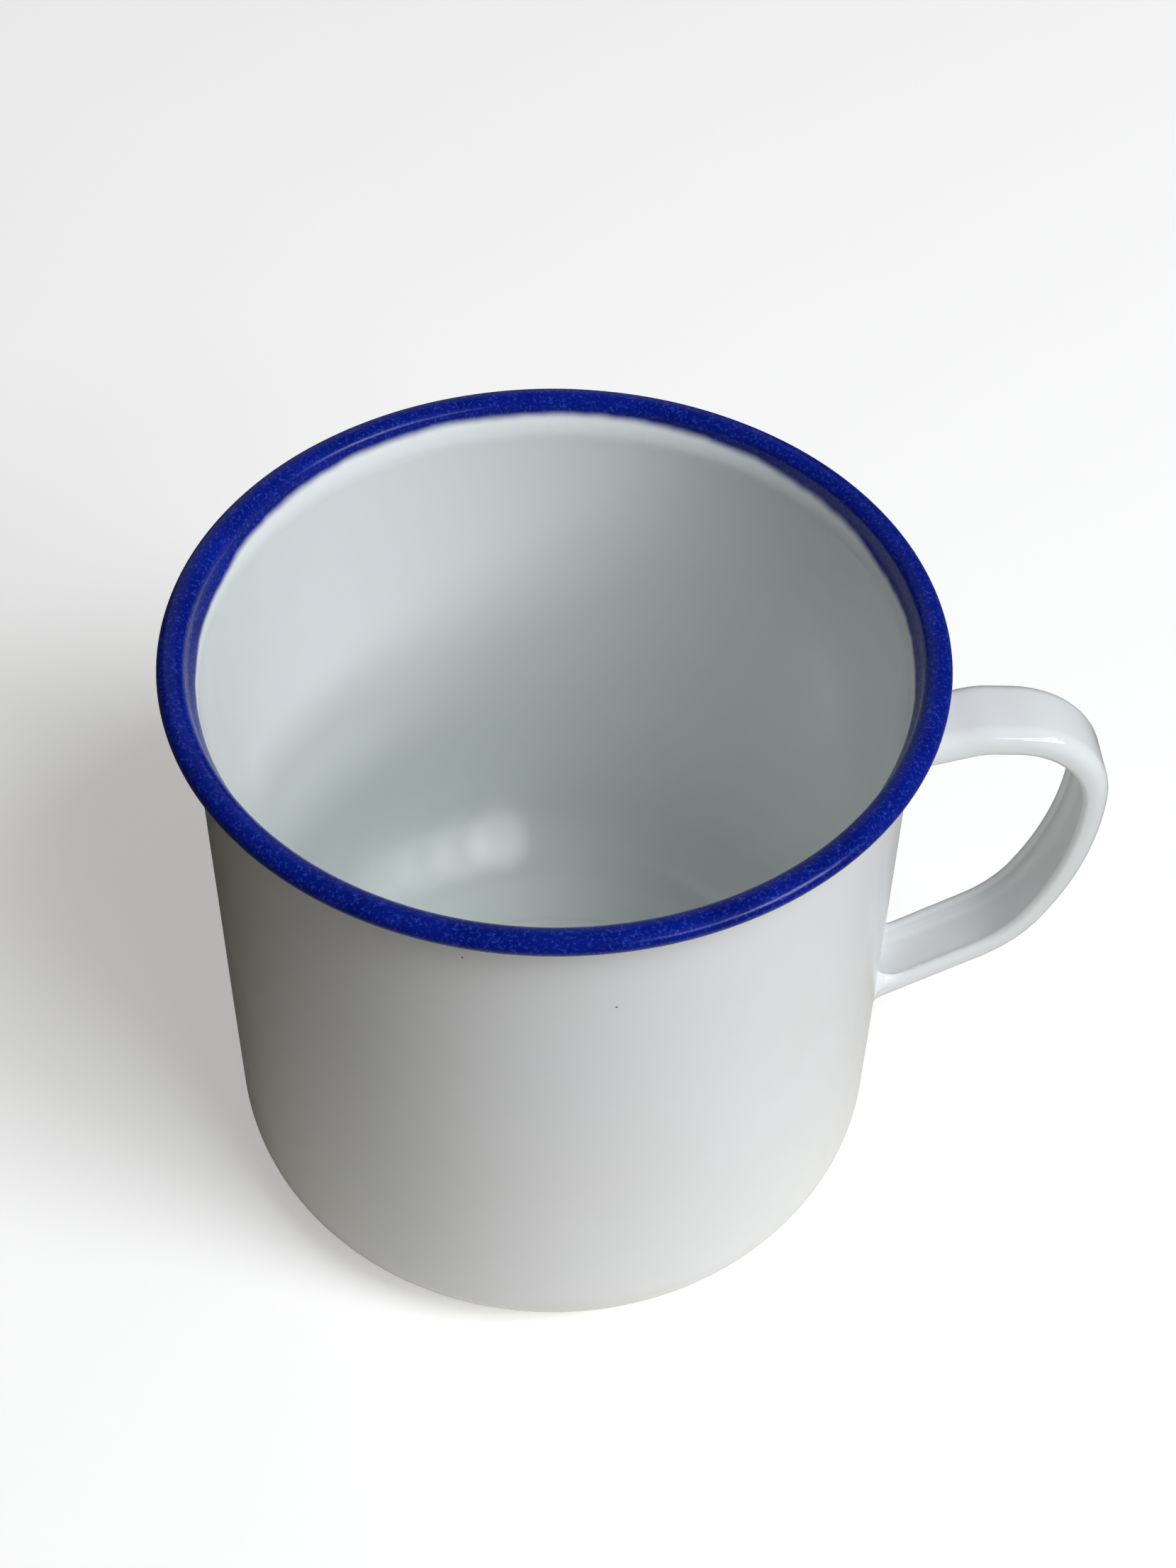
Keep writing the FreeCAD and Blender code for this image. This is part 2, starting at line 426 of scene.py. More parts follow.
# %% [markdown]
# ## White enamel
# White cover enamel is glass full of a fine white oxide. Light that enters scatters straight back
# out, and the surface itself is smooth glass, so a Principled shader with a plain pale colour, a low
# roughness and the index of glass is the right model; it needs no metal and no clear coat on top.
# Inside the cup the coat is thicker and a little greener. The strap was dipped and is the glossiest.


# %% White enamel
SPECK_COLOUR = (0.09, 0.08, 0.07, 1)
GLASS_INDEX = 1.52


def white_enamel(name, thin, thick, peel_depth, peel_scale, grain_share, roughness, specks=()):
    """White glass with its own two colours, ripple, grain, gloss and dark specks."""
    material = bpy.data.materials.new(name)
    material.use_nodes = True
    tree = material.node_tree
    shader = tree.nodes["Principled BSDF"]
    here = add_node(tree, "ShaderNodeTexCoord").outputs["Object"]
    drift = add_node(tree, "ShaderNodeGroup", node_tree=drift_group)
    tree.links.new(here, drift.inputs["Vector"])
    drift.inputs["Thin Color"].default_value = (*thin, 1)
    drift.inputs["Thick Color"].default_value = (*thick, 1)
    peel = add_node(tree, "ShaderNodeGroup", node_tree=peel_group)
    tree.links.new(here, peel.inputs["Vector"])
    peel.inputs["Peel Scale"].default_value = peel_scale
    peel.inputs["Grain Share"].default_value = grain_share
    peel.inputs["Low Roughness"].default_value = roughness[0]
    peel.inputs["High Roughness"].default_value = roughness[1]
    colour = drift.outputs["Color"]
    for place, radius in specks:
        speck = add_node(tree, "ShaderNodeGroup", node_tree=speck_group)
        tree.links.new(here, speck.inputs["Vector"])
        speck.inputs["Place"].default_value = place
        speck.inputs["Radius"].default_value = radius
        colour = add_node(
            tree,
            "ShaderNodeMix",
            {0: speck.outputs["Mask"], 6: colour, 7: SPECK_COLOUR},
            data_type="RGBA",
        ).outputs[2]
    bump = add_node(
        tree, "ShaderNodeBump", {"Height": peel.outputs["Height"], "Strength": 1.0, "Distance": peel_depth}
    )
    tree.links.new(colour, shader.inputs["Base Color"])
    tree.links.new(peel.outputs["Roughness"], shader.inputs["Roughness"])
    tree.links.new(bump.outputs["Normal"], shader.inputs["Normal"])
    shader.inputs["IOR"].default_value = GLASS_INDEX
    return material


# %% The three whites
OUTSIDE_SPECKS = (
    ((4.40 * MM, -39.61 * MM, 66.58 * MM), 0.13 * MM),
    ((-11.12 * MM, -38.27 * MM, 73.94 * MM), 0.12 * MM),
    ((20.9 * MM, 33.9 * MM, 31.0 * MM), 0.15 * MM),
    ((-36.5 * MM, 15.9 * MM, 52.0 * MM), 0.12 * MM),
)
outside_white = white_enamel(
    "white_enamel_outside",
    (0.88, 0.875, 0.89),
    (0.87, 0.865, 0.86),
    0.006 * MM,
    420.0,
    0.12,
    (0.16, 0.24),
    OUTSIDE_SPECKS,
)
inside_white = white_enamel(
    "white_enamel_inside", (0.855, 0.885, 0.875), (0.84, 0.875, 0.862), 0.006 * MM, 330.0, 0.03, (0.07, 0.12)
)
handle_white = white_enamel(
    "white_enamel_handle", (0.90, 0.905, 0.905), (0.885, 0.895, 0.89), 0.008 * MM, 260.0, 0.02, (0.05, 0.08)
)
print("whites", outside_white.name, inside_white.name, handle_white.name)

# %% [markdown]
# ## Blue rim enamel
# The rim is brushed or dipped in cobalt glass after the white is fired. Its colour is deep, with a
# fine paler fleck where the powder melted unevenly, and its edge wanders by a few tenths of a
# millimetre and bleeds a little into the white. The piece reaches a bit below the paint line, so
# that the line itself, its wander and its bleed can all be drawn by the material. Its surface is
# rougher than the white and mirrors less, so it takes less than half of plain glass's specular level.


# %% Group: a painted edge at a height
def make_edge_group():
    """A mask that climbs from 0 to 1 over twice the bleed, about a line that wanders round a height."""
    inputs = [
        ("Vector", "Vector", None),
        ("Height", "Float", 0.078),
        ("Wander", "Float", 0.0006),
        ("Bleed", "Float", 0.0003),
    ]
    tree, given, out = new_group("painted_edge", inputs, [("Mask", "Float")])
    slow = add_node(tree, "ShaderNodeTexNoise", {"Vector": given["Vector"], "Scale": 70.0, "Detail": 2.0})
    quick = add_node(tree, "ShaderNodeTexNoise", {"Vector": given["Vector"], "Scale": 420.0, "Detail": 1.0})
    both = math_node(tree, "MULTIPLY_ADD", quick.outputs[0], 0.3, slow.outputs[0])
    centred = math_node(tree, "SUBTRACT", both, 0.65)
    height = add_node(tree, "ShaderNodeSeparateXYZ", {"Vector": given["Vector"]}).outputs["Z"]
    line = math_node(tree, "MULTIPLY_ADD", centred, given["Wander"], given["Height"])
    above_line = math_node(tree, "SUBTRACT", height, line)
    ratio = math_node(tree, "DIVIDE", above_line, given["Bleed"])
    mask = add_node(
        tree,
        "ShaderNodeMapRange",
        {"Value": ratio, "From Min": -1.0, "From Max": 1.0},
        interpolation_type="SMOOTHSTEP",
    )
    tree.links.new(mask.outputs["Result"], out["Mask"])
    return tree


edge_group = make_edge_group()


# %% Blue enamel
LINE_LEFT = 77.5 * MM
LINE_RIGHT = 77.9 * MM
LINE_FAR = 79.0 * MM
LINE_OUTSIDE = 78.5 * MM
BLEED_NEAR = 0.12 * MM
BLEED_FAR = 0.6 * MM
BLEED_OUTSIDE = 0.08 * MM
BARE_WHITE = (0.85, 0.88, 0.87, 1)
BLUE_FLECK = (0.035, 0.075, 0.50, 1)


def blue_enamel(name):
    """Blue glass above a painted line that climbs to the far side, over white glass below it."""
    material = bpy.data.materials.new(name)
    material.use_nodes = True
    tree = material.node_tree
    shader = tree.nodes["Principled BSDF"]
    here = add_node(tree, "ShaderNodeTexCoord").outputs["Object"]
    across = add_node(tree, "ShaderNodeSeparateXYZ", {"Vector": here})
    fleck = add_node(
        tree, "ShaderNodeTexNoise", {"Vector": here, "Scale": 2600.0, "Detail": 2.0, "Roughness": 0.7}
    )
    fleck_mask = add_node(
        tree, "ShaderNodeMapRange", {"Value": fleck.outputs[0], "From Min": 0.52, "From Max": 0.78}
    )
    drift = add_node(tree, "ShaderNodeGroup", node_tree=drift_group)
    tree.links.new(here, drift.inputs["Vector"])
    drift.inputs["Thin Color"].default_value = (0.0025, 0.014, 0.27, 1)
    drift.inputs["Thick Color"].default_value = (0.001, 0.008, 0.18, 1)
    drift.inputs["Patch Scale"].default_value = 110.0
    blue = add_node(
        tree,
        "ShaderNodeMix",
        {0: fleck_mask.outputs["Result"], 6: drift.outputs["Color"], 7: BLUE_FLECK},
        data_type="RGBA",
    )
    bleed = add_node(
        tree,
        "ShaderNodeMapRange",
        {
            "Value": across.outputs["Y"],
            "From Min": -0.02,
            "From Max": 0.035,
            "To Min": BLEED_NEAR,
            "To Max": BLEED_FAR,
        },
    )
    side_line = add_node(
        tree,
        "ShaderNodeMapRange",
        {
            "Value": across.outputs["X"],
            "From Min": -0.04,
            "From Max": 0.04,
            "To Min": LINE_LEFT,
            "To Max": LINE_RIGHT,
        },
    )
    inner_line = add_node(
        tree,
        "ShaderNodeMapRange",
        {
            "Value": across.outputs["Y"],
            "From Min": 0.006,
            "From Max": 0.037,
            "To Min": side_line.outputs["Result"],
            "To Max": LINE_FAR,
        },
        interpolation_type="SMOOTHSTEP",
    )
    inner = add_node(tree, "ShaderNodeGroup", node_tree=edge_group)
    tree.links.new(here, inner.inputs["Vector"])
    tree.links.new(inner_line.outputs["Result"], inner.inputs["Height"])
    tree.links.new(bleed.outputs["Result"], inner.inputs["Bleed"])
    inner.inputs["Wander"].default_value = 1.1 * MM
    outer = add_node(tree, "ShaderNodeGroup", node_tree=edge_group)
    tree.links.new(here, outer.inputs["Vector"])
    outer.inputs["Height"].default_value = LINE_OUTSIDE
    outer.inputs["Wander"].default_value = 0.3 * MM
    outer.inputs["Bleed"].default_value = BLEED_OUTSIDE
    flat = add_node(tree, "ShaderNodeCombineXYZ", {"X": across.outputs["X"], "Y": across.outputs["Y"]})
    from_axis = add_node(
        tree, "ShaderNodeVectorMath", {0: flat.outputs[0]}, operation="LENGTH"
    ).outputs["Value"]
    outside = math_node(tree, "GREATER_THAN", from_axis, BEAD_RADIUS - BEAD_HALF_WIDTH + 0.2 * MM)
    covered = add_node(
        tree,
        "ShaderNodeMix",
        {0: outside, 2: inner.outputs["Mask"], 3: outer.outputs["Mask"]},
        data_type="FLOAT",
    ).outputs[0]
    colour = add_node(
        tree,
        "ShaderNodeMix",
        {0: covered, 6: BARE_WHITE, 7: blue.outputs[2]},
        data_type="RGBA",
    )
    peel = add_node(tree, "ShaderNodeGroup", node_tree=peel_group)
    tree.links.new(here, peel.inputs["Vector"])
    peel.inputs["Peel Scale"].default_value = 750.0
    peel.inputs["Grain Scale"].default_value = 3600.0
    peel.inputs["Grain Share"].default_value = 0.3
    peel.inputs["Low Roughness"].default_value = 0.18
    peel.inputs["High Roughness"].default_value = 0.28
    bump = add_node(
        tree, "ShaderNodeBump", {"Height": peel.outputs["Height"], "Strength": 1.0, "Distance": 0.03 * MM}
    )
    tree.links.new(colour.outputs[2], shader.inputs["Base Color"])
    tree.links.new(peel.outputs["Roughness"], shader.inputs["Roughness"])
    tree.links.new(bump.outputs["Normal"], shader.inputs["Normal"])
    shader.inputs["IOR"].default_value = GLASS_INDEX
    shader.inputs["Specular IOR Level"].default_value = 0.22
    return material


rim_blue = blue_enamel("blue_enamel_rim")
print("blue", rim_blue.name, len(rim_blue.node_tree.nodes), "nodes")

# %% [markdown]
# ## The white coats on the cup
# Each white coat is a closed glass shell, 0.15 mm thick, between two depths of the cup's line. The
# outer one wraps the wall, the rounded corner, the foot ring and the panel underneath. The inner one
# lines the cup. At the top each ends where the blue piece starts, so white glass meets white glass.

# %% White coat, outside and inside
outer_front = up_to(cup_line(0), BLUE_START_OUTSIDE)
outer_back = up_to(cup_line(COVER_COAT), BLUE_START_OUTSIDE)
mug_white_outside = add_piece(
    "mug_white_outside",
    *turned_shell(outer_front, outer_back),
    "white_enamel",
    "outer_white_enamel",
    outside_white,
)
inner_front = up_to(cup_line(SHEET), BLUE_START_INSIDE)
inner_back = up_to(cup_line(SHEET - COVER_COAT), BLUE_START_INSIDE)
mug_white_inside = add_piece(
    "mug_white_inside",
    *turned_shell(inner_front, inner_back),
    "white_enamel",
    "inner_white_enamel",
    inside_white,
)

# %% [markdown]
# ## The blue coat on the rolled rim
# The rim's section is an oval tube. The blue coat climbs the flared wall inside, goes over the oval
# and round underneath it, and ends on the wall below, where the tube touches the wall in a narrow
# crease. Seen from the side it is one closed band that follows that path, and it is turned about
# the axis like the cup.


# %% Path of the rim's surface
def rim_path(inset, inner_depth, outer_depth):
    """Up the inner flare, over and under the oval at an inset, then down the outer wall."""
    turn = np.linspace(180, -175, 110)
    oval = np.column_stack(
        [
            BEAD_RADIUS + (BEAD_HALF_WIDTH - inset) * np.cos(np.radians(turn)),
            BEAD_HEIGHT + (BEAD_HALF_HEIGHT - inset) * np.sin(np.radians(turn)),
        ]
    )
    wall = above(cup_line(outer_depth), BLUE_START_OUTSIDE)
    clear = (turn > -90) | (oval[:, 0] > np.interp(oval[:, 1], wall[:, 1], wall[:, 0]))
    last = np.argmin(clear) if not clear.all() else len(clear)
    oval = oval[:last]
    down = wall[wall[:, 1] < oval[-1, 1]][::-1]
    return joined(above(cup_line(inner_depth), BLUE_START_INSIDE), oval, down)


def bead_sink(angle, section):
    """The rim's offset counts fully on the oval and fades out down the flare."""
    share = np.clip((section[:, 1, None] - FLARE_START - 2.5 * MM) / (1.1 * MM), 0, 1)
    return rim_offset(angle) * share


rim_front = rim_path(0, SHEET, 0)
rim_back = rim_path(COVER_COAT, SHEET - COVER_COAT, COVER_COAT)
rim_section = np.concatenate([rim_front, rim_back[::-1]])
rim_points = turned_points(rim_section, bead_sink, bead_sink)
mug_blue_rim = add_piece(
    "mug_blue_rim",
    rim_points,
    grid_faces(len(rim_section), TURN_STEPS, True),
    np.zeros((0, 3), int),
    "blue_enamel",
    "blue_rim_enamel",
    rim_blue,
)

# %% [markdown]
# ## The strap handle
# The handle is a strip of steel pressed to a shallow channel, bent to shape with its open side to
# the cup, and enamelled with it. A profile carried along a path describes it: the channel's outline
# is drawn once, and each station of the path holds a copy of it, square to the path. Near the wall
# the melted glass pools into a soft fillet, so there the outline swells outwards.


# %% Rounded corners, for the channel's outline
def rounded_outline(corners, radii, steps):
    """Each corner becomes an arc about a centre on its bisector, radius / sin(half angle) away."""
    corners = np.array(corners, float)
    radii = np.array(radii, float)[:, None]
    back = np.roll(corners, 1, axis=0) - corners
    ahead = np.roll(corners, -1, axis=0) - corners
    back /= np.linalg.norm(back, axis=1, keepdims=True)
    ahead /= np.linalg.norm(ahead, axis=1, keepdims=True)
    half = np.arccos(np.sum(back * ahead, axis=1, keepdims=True)) / 2
    bisector = (back + ahead) / np.linalg.norm(back + ahead, axis=1, keepdims=True)
    centre = corners + bisector * radii / np.sin(half)
    start = corners + back * radii / np.tan(half) - centre
    end = corners + ahead * radii / np.tan(half) - centre
    share = np.linspace(0, 1, steps)[None, :, None]
    spread = np.pi - 2 * half[:, :, None]
    blend = np.sin((1 - share) * spread) * start[:, None] + np.sin(share * spread) * end[:, None]
    blend = blend / np.sin(spread)
    return (centre[:, None] + blend).reshape(-1, 2), (blend / radii[:, None]).reshape(-1, 2)


# %% The channel's outline: across the strap, and down into it
HANDLE_WIDTH = 9.4 * MM
HANDLE_DEPTH = 3.2 * MM
HANDLE_THICKNESS = 1.4 * MM
HALF = HANDLE_WIDTH / 2
FLANGE = HALF - HANDLE_THICKNESS
TIP = HANDLE_THICKNESS / 2 - 0.01 * MM
OUTER_CORNER = 2.1 * MM
CHANNEL_CORNER = 1.3 * MM
# across, down, radius, and the side on which the glass lies: 1 outside the arc, -1 inside it
CORNERS = [
    (-HALF, HANDLE_DEPTH, TIP, 1),
    (-HALF, 0, OUTER_CORNER, 1),
    (HALF, 0, OUTER_CORNER, 1),
    (HALF, HANDLE_DEPTH, TIP, 1),
    (FLANGE, HANDLE_DEPTH, TIP, 1),
    (FLANGE, HANDLE_THICKNESS, CHANNEL_CORNER, -1),
    (-FLANGE, HANDLE_THICKNESS, CHANNEL_CORNER, -1),
    (-FLANGE, HANDLE_DEPTH, TIP, 1),
]
ARC_STEPS = 9
outline, outline_normal = rounded_outline([c[:2] for c in CORNERS], [c[2] for c in CORNERS], ARC_STEPS)
corner_sign = np.repeat([c[3] for c in CORNERS], ARC_STEPS)
outline_normal = outline_normal * corner_sign[:, None]
CHANNEL_SWELL = 0.4  # the fillet is smaller in the channel than outside it
outline_swell = np.repeat([1, 1, 1, 1] + [CHANNEL_SWELL] * 4, ARC_STEPS).astype(float)
print("channel outline", len(outline), "points")

# %% The strap's route in the plane through the axis
ROUTE_START = np.array([36.0, 64.3]) * MM
ROUTE_BENDS = np.array([(48.0, 67.6), (63.9, 66.6), (64.5, 43.8), (57.2, 29.4)]) * MM
ROUTE_RADII = np.array([10.0, 12.8, 42.8, 18.0]) * MM
ROUTE_END = np.array([36.0, 16.0]) * MM


def bend_stations(before, bend, after, radius, steps):
    """A tangent arc: it starts radius * tan(half the turn) before the bend and keeps to its circle."""
    into = (bend - before) / np.linalg.norm(bend - before)
    out_of = (after - bend) / np.linalg.norm(after - bend)
    turn = math.atan2(into[0] * out_of[1] - into[1] * out_of[0], into @ out_of)
    start = bend - into * radius * math.tan(abs(turn) / 2)
    side = np.array([-into[1], into[0]]) * math.copysign(1, turn)
    along = np.linspace(0, turn, steps)
    direction = np.column_stack(
        [
            into[0] * np.cos(along) - into[1] * np.sin(along),
            into[0] * np.sin(along) + into[1] * np.cos(along),
        ]
    )
    centre = start + side * radius
    normal = np.column_stack([-direction[:, 1], direction[:, 0]]) * math.copysign(1, turn)
    return centre - normal * radius, direction


corners = np.vstack([ROUTE_START, ROUTE_BENDS, ROUTE_END])
BEND_STEPS = (8, 44, 20, 16)
bends = [
    bend_stations(corners[i], corners[i + 1], corners[i + 2], ROUTE_RADII[i], BEND_STEPS[i])
    for i in range(4)
]
ROUTE_INSET = np.array([0.005, 0.0]) * MM  # keeps the strap's outermost line inside the CAD's box
route = np.concatenate([bend[0] for bend in bends]) - ROUTE_INSET
route_direction = np.concatenate([bend[1] for bend in bends])
print("route", len(route), "stations, reaches", round(route[:, 0].max() / MM, 2), "mm")

# %% [markdown]
# ## The strap's ends
# Each line of the outline runs on along the straight end of the route until it meets the wall. A
# point that runs at a slant meets a cylinder at a distance that solves a quadratic, one for every
# line at once. The fillet is a quarter circle: at distance d from the wall the outline stands out by
# r - sqrt(r² - (r - d)²), which is r at the wall and nothing beyond r.

# %% Rows of points from the bent part of the strap to the wall
FILLET = 2.8 * MM
BURIED_RADIUS = WALL_RADIUS - 0.4 * MM
END_ROWS = 18


def placed(position, direction, across, down):
    """Outline points at a station: position + down times the route's right, and across along Y."""
    right = np.stack([direction[..., 1], -direction[..., 0]], axis=-1)
    flat = position + down[..., None] * right
    return np.stack([flat[..., 0], across + 0 * flat[..., 0], flat[..., 1]], axis=-1)


def travel_to_radius(points, step, radius):
    """The smaller root of |p + t step| = radius, measured square to the axis."""
    a = step[0] ** 2
    b = points[:, 0] * step[0]
    c = points[:, 0] ** 2 + points[:, 1] ** 2 - radius**2
    return (-b - np.sqrt(b * b - a * c)) / a


def end_rows(position, direction, travel):
    """Rows from the wall out to a station, each swollen by the fillet for its distance."""
    swollen = outline + outline_normal * (outline_swell * FILLET)[:, None]
    far = placed(position[None], direction[None], swollen[:, 0], swollen[:, 1])
    step = np.array([direction[0], 0, direction[1]]) * travel
    to_surface = travel_to_radius(far, step, WALL_RADIUS)
    to_buried = travel_to_radius(far, step, BURIED_RADIUS)
    share = (1 - np.cos(np.linspace(0, math.pi / 2, END_ROWS)))[:, None]
    moved = to_buried[None, :] * (1 - share)
    clear = np.maximum(to_surface[None, :] - moved, 0)
    rest = np.clip(FILLET - clear, 0, FILLET)
    stand_out = FILLET - np.sqrt(FILLET**2 - rest**2)
    ring = outline[None] + outline_normal[None] * (outline_swell[None] * stand_out)[..., None]
    base = placed(position[None, None], direction[None, None], ring[..., 0], ring[..., 1])
    return base + moved[..., None] * step


upper_rows = end_rows(route[0], route_direction[0], -1)
lower_rows = end_rows(route[-1], route_direction[-1], 1)[::-1]
middle_rows = placed(
    route[1:-1, None], route_direction[1:-1, None], outline[None, :, 0], outline[None, :, 1]
)
strap_grid = np.concatenate([upper_rows, middle_rows, lower_rows])
print("strap grid", strap_grid.shape, "x from", round(strap_grid[..., 0].min() / MM, 2))

# %% Caps inside the wall, and the finished strap
rows, columns = strap_grid.shape[:2]
strap_points = strap_grid.reshape(-1, 3)
# each cap fans out from the middle between an outer corner and a corner of the channel
web_middle = strap_grid[[0, -1]][:, [2 * ARC_STEPS - 5, 6 * ARC_STEPS - 1]].mean(axis=1)
strap_points = np.concatenate([strap_points, web_middle])
strap_caps = np.concatenate(
    [
        fan_faces(0, columns, rows * columns, False),
        fan_faces((rows - 1) * columns, columns, rows * columns + 1, True),
    ]
)
mug_handle_white = add_piece(
    "mug_handle_white",
    strap_points,
    grid_faces(rows, columns, False),
    strap_caps,
    "white_enamel",
    "handle_white_enamel",
    handle_white,
)

# %% [markdown]
# ## Steel, welds and ground coat
# These lie under the glass and show only if a coat is taken away, yet each has its own finish. Cold
# rolled steel has fine lines of grain, weld metal is darker and lumpier with a straw to blue tint of
# heat, and the ground coat is almost black glass, coloured by the cobalt and nickel that make it
# stick. The CAD nodes keep their meshes and only take these materials.


# %% Finishes under the glass
def hidden_finish(name, first, second, scale, metallic, roughness, depth):
    """Two colours in patches of one scale, with grain six times finer and its own gloss."""
    material = bpy.data.materials.new(name)
    material.use_nodes = True
    tree = material.node_tree
    shader = tree.nodes["Principled BSDF"]
    here = add_node(tree, "ShaderNodeTexCoord").outputs["Object"]
    drift = add_node(tree, "ShaderNodeGroup", node_tree=drift_group)
    tree.links.new(here, drift.inputs["Vector"])
    drift.inputs["Thin Color"].default_value = (*first, 1)
    drift.inputs["Thick Color"].default_value = (*second, 1)
    drift.inputs["Patch Scale"].default_value = scale
    peel = add_node(tree, "ShaderNodeGroup", node_tree=peel_group)
    tree.links.new(here, peel.inputs["Vector"])
    peel.inputs["Peel Scale"].default_value = scale * 6
    peel.inputs["Low Roughness"].default_value = roughness[0]
    peel.inputs["High Roughness"].default_value = roughness[1]
    bump = add_node(
        tree, "ShaderNodeBump", {"Height": peel.outputs["Height"], "Strength": 1.0, "Distance": depth}
    )
    tree.links.new(drift.outputs["Color"], shader.inputs["Base Color"])
    tree.links.new(peel.outputs["Roughness"], shader.inputs["Roughness"])
    tree.links.new(bump.outputs["Normal"], shader.inputs["Normal"])
    shader.inputs["Metallic"].default_value = metallic
    return material


bare_steel = hidden_finish(
    "bare_steel", (0.52, 0.53, 0.54), (0.40, 0.41, 0.43), 160.0, 1.0, (0.28, 0.42), 0.01 * MM
)
weld_metal = hidden_finish(
    "weld_metal", (0.36, 0.31, 0.24), (0.17, 0.18, 0.24), 420.0, 1.0, (0.35, 0.6), 0.05 * MM
)
ground_glass = hidden_finish(
    "dark_ground_enamel", (0.010, 0.012, 0.022), (0.004, 0.005, 0.008), 260.0, 0.0, (0.2, 0.35), 0.01 * MM
)
FINISH_OF = {
    "steel_cup": bare_steel,
    "handle_strap": bare_steel,
    "upper_weld": weld_metal,
    "lower_weld": weld_metal,
    "ground_coat": ground_glass,
    "handle_ground_coat": ground_glass,
}
for node_name, finish in FINISH_OF.items():
    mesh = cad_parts[node_name].data
    mesh.materials.clear()
    mesh.materials.append(finish)
print("carried over", sorted(FINISH_OF))

# %% [markdown]
# ## Floor and surroundings
# The mug stands on a plain pale floor. A pale floor that runs on for metres throws more light back
# into a glossy cylinder than a small bright cloth in an ordinary room does. So the floor looks pale
# to the camera everywhere, but in reflections and bounced light its colour holds a painted pool of
# light in front of the mug, and painted shade, darker and warmer, farther off. The surroundings look
# pale too, light the mug only faintly from above, and are dark in its reflections. Only the stage
# does this; the mug's own materials never ask where the camera is.

# %% Floor
FLOOR_HALF = 3.0
floor_mesh = bpy.data.meshes.new("floor")
floor_mesh.from_pydata(
    [
        (-FLOOR_HALF, -FLOOR_HALF, 0),
        (FLOOR_HALF, -FLOOR_HALF, 0),
        (FLOOR_HALF, FLOOR_HALF, 0),
        (-FLOOR_HALF, FLOOR_HALF, 0),
    ],
    [],
    [(0, 1, 2, 3)],
)
FLOOR_GAP = 0.02 * MM  # keeps the floor off the foot ring, so the two faces never flicker
floor_mesh.transform(Matrix.Translation((0, 0, -FLOOR_GAP)))
floor = bpy.data.objects.new("floor", floor_mesh)
bpy.context.scene.collection.objects.link(floor)

PALE_FLOOR = (0.92, 0.905, 0.88, 1)
PALE_FLOOR_PATCH = (0.90, 0.885, 0.86, 1)
CAMERA_GLOW = 0.36
floor_material = bpy.data.materials.new("pale_floor")
floor_material.use_nodes = True
tree = floor_material.node_tree
floor_shader = tree.nodes["Principled BSDF"]
here = add_node(tree, "ShaderNodeTexCoord").outputs["Object"]
mottle = add_node(tree, "ShaderNodeTexNoise", {"Vector": here, "Scale": 18.0, "Detail": 3.0})
pale = add_node(
    tree,
    "ShaderNodeMix",
    {0: mottle.outputs[0], 6: PALE_FLOOR, 7: PALE_FLOOR_PATCH},
    data_type="RGBA",
)
seen = add_node(tree, "ShaderNodeLightPath").outputs["Is Camera Ray"]
# The floor's colour in bounced light: a painted pool of light in front of the mug, and painted shade farther
# off.
FLOOR_PAINTED_SHADE = (0.16, 0.15, 0.12)
FLOOR_PAINTED_LIGHT = (0.95, 0.92, 0.84)
PAINTED_LIGHT_CENTRE = (0.015, -0.065, 0.0)
away = add_node(tree, "ShaderNodeVectorMath", {0: here, 1: PAINTED_LIGHT_CENTRE}, operation="DISTANCE")
painted_light_share = add_node(
    tree,
    "ShaderNodeMapRange",
    {"Value": away.outputs["Value"], "From Min": 0.15, "From Max": 0.03},
    interpolation_type="SMOOTHSTEP",
)
bounced = add_node(
    tree,
    "ShaderNodeMix",
    {0: painted_light_share.outputs["Result"], 6: (*FLOOR_PAINTED_SHADE, 1), 7: (*FLOOR_PAINTED_LIGHT, 1)},
    data_type="RGBA",
)
floor_colour = add_node(
    tree, "ShaderNodeMix", {0: seen, 6: bounced.outputs[2], 7: pale.outputs[2]}, data_type="RGBA"
)
tree.links.new(floor_colour.outputs[2], floor_shader.inputs["Base Color"])
floor_shader.inputs["Roughness"].default_value = 0.9
floor_shader.inputs["Specular IOR Level"].default_value = 0.0
glow = math_node(tree, "MULTIPLY", seen, CAMERA_GLOW)
floor_shader.inputs["Emission Color"].default_value = (1, 1, 0.995, 1)
tree.links.new(glow, floor_shader.inputs["Emission Strength"])
floor_mesh.materials.append(floor_material)
print("floor", 2 * FLOOR_HALF, "m across, bright near", PAINTED_LIGHT_CENTRE)

# %% Surroundings
HORIZON_COLOUR = (0.02, 0.019, 0.017)
CEILING_COLOUR = (0.13, 0.12, 0.11)
REFLECTED_ROOM = (0.03, 0.03, 0.032)
SEEN_ROOM = (0.9, 0.9, 0.9, 1)
world = bpy.data.worlds.new("studio")
world.cycles.sampling_method = "NONE"  # so that every ray that meets the world knows its own kind
world.use_nodes = True
bpy.context.scene.world = world
tree = world.node_tree
backdrop = tree.nodes["Background"]
ray = add_node(tree, "ShaderNodeLightPath").outputs
way = add_node(tree, "ShaderNodeTexCoord").outputs["Generated"]
height = add_node(tree, "ShaderNodeSeparateXYZ", {"Vector": way}).outputs["Z"]
climb = add_node(tree, "ShaderNodeMapRange", {"Value": height, "From Min": 0.2, "From Max": 0.8})
room = add_node(
    tree,
    "ShaderNodeMix",
    {0: climb.outputs["Result"], 6: (*HORIZON_COLOUR, 1), 7: (*CEILING_COLOUR, 1)},
    data_type="RGBA",
)
lit = add_node(
    tree,
    "ShaderNodeMix",
    {0: ray["Is Diffuse Ray"], 6: (*REFLECTED_ROOM, 1), 7: room.outputs[2]},
    data_type="RGBA",
)
